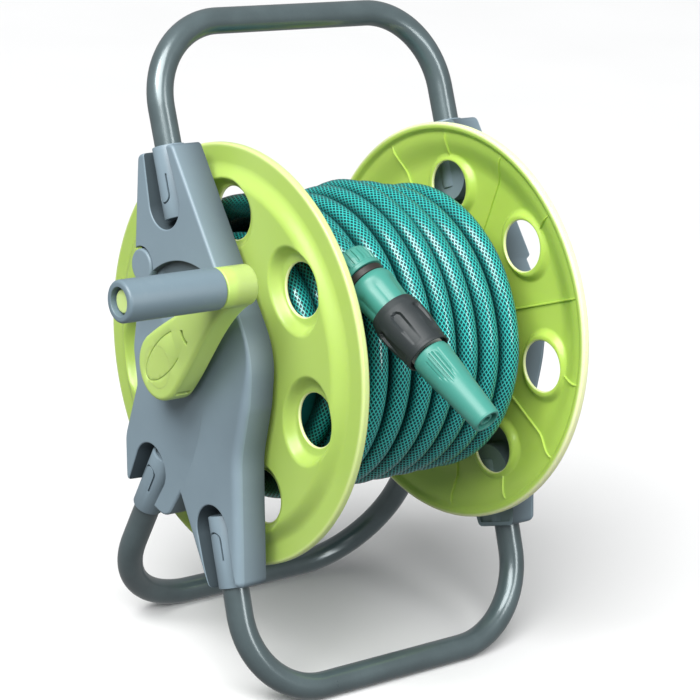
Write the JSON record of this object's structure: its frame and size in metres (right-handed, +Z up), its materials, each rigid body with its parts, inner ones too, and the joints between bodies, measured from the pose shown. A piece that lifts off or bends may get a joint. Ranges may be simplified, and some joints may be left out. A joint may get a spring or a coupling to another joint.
{
  "type": "hose reel cart",
  "caption": "Free-standing garden hose reel on bent tube feet with a carrying handle, hand crank, wound hose, quick connector with twist nozzle and swivelling water inlet.",
  "frame": {"origin": "on the floor, under the middle of the object's bounding box", "axes": "+Z up; the reel's axis runs along X with the crank on the -X side; the front, where the nozzle points, is -Y"},
  "size_m": [0.4136, 0.3702, 0.4651],
  "materials": {
    "lime_plastic": "moulded lime green plastic, semi-gloss, slightly see-through at thin edges",
    "plate_plastic": "moulded blue-grey plastic with a fine satin grain",
    "painted_tube": "steel tube with a smooth grey satin powder coat",
    "teal_plastic": "moulded sea-green plastic, semi-gloss",
    "hose_pvc": "clear green PVC over a diamond-braided layer, glossy",
    "soft_grip": "matt dark grey soft-touch rubber",
    "clamp_ring": "dark plastic clamp ring",
    "bearing_plastic": "natural white bearing plastic",
    "seal_rubber": "black seal rubber",
    "zinc_steel": "zinc-plated steel"
  },
  "bodies": {
    "frame": {"handle_tube": "painted_tube", "front_foot_tube": "painted_tube", "rear_foot_tube": "painted_tube", "crank_side_plate": "plate_plastic", "far_side_plate": "plate_plastic", "crank_side_bush": "bearing_plastic", "far_side_bush": "bearing_plastic"},
    "reel": {"crank_side_flange": "lime_plastic", "far_side_flange": "lime_plastic", "drum_screw_1": "zinc_steel", "drum_screw_2": "zinc_steel", "drum_screw_3": "zinc_steel", "feed_elbow": "teal_plastic", "hose_core": "hose_pvc", "hose_winding": "hose_pvc", "hose_nut": "teal_plastic", "hose_clamp_ring": "clamp_ring", "connector_body": "teal_plastic", "connector_jaws": "bearing_plastic", "nozzle_stem": "teal_plastic", "nozzle_seal": "seal_rubber", "crank_arm": "lime_plastic", "crank_screw": "zinc_steel", "crank_hub_cap": "lime_plastic", "grip_retainer": "lime_plastic"},
    "grip": {"crank_grip": "plate_plastic"},
    "collar": {"release_collar": "soft_grip"},
    "barrel": {"nozzle_barrel": "teal_plastic"},
    "inlet": {"inlet_elbow": "plate_plastic", "inlet_seal_inner": "seal_rubber", "inlet_seal_outer": "seal_rubber", "inlet_clip": "zinc_steel", "inlet_nipple": "teal_plastic"}
  },
  "joints": [
    {"name": "reel_spin", "type": "hinge", "parent": "frame", "child": "reel", "pos_m": [0.04075, 0.03514, 0.23598], "axis": [1, 0, 0], "continuous": true},
    {"name": "grip_spin", "type": "hinge", "parent": "reel", "child": "grip", "pos_m": [-0.13075, -0.03707, 0.31234], "axis": [1, 0, 0], "continuous": true},
    {"name": "collar_pull", "type": "slide", "parent": "reel", "child": "collar", "axis": [-0.1281, 0.8545, 0.5034], "range_m": [0, 0.004], "stiffness_N_per_m": 400, "springref_m": -0.005},
    {"name": "barrel_twist", "type": "hinge", "parent": "reel", "child": "barrel", "pos_m": [-0.03155, -0.04976, 0.32428], "axis": [0.1281, -0.8545, -0.5034], "range_deg": [0, 270]},
    {"name": "inlet_swivel", "type": "hinge", "parent": "frame", "child": "inlet", "pos_m": [0.04075, 0.03514, 0.23598], "axis": [1, 0, 0], "continuous": true}
  ]
}
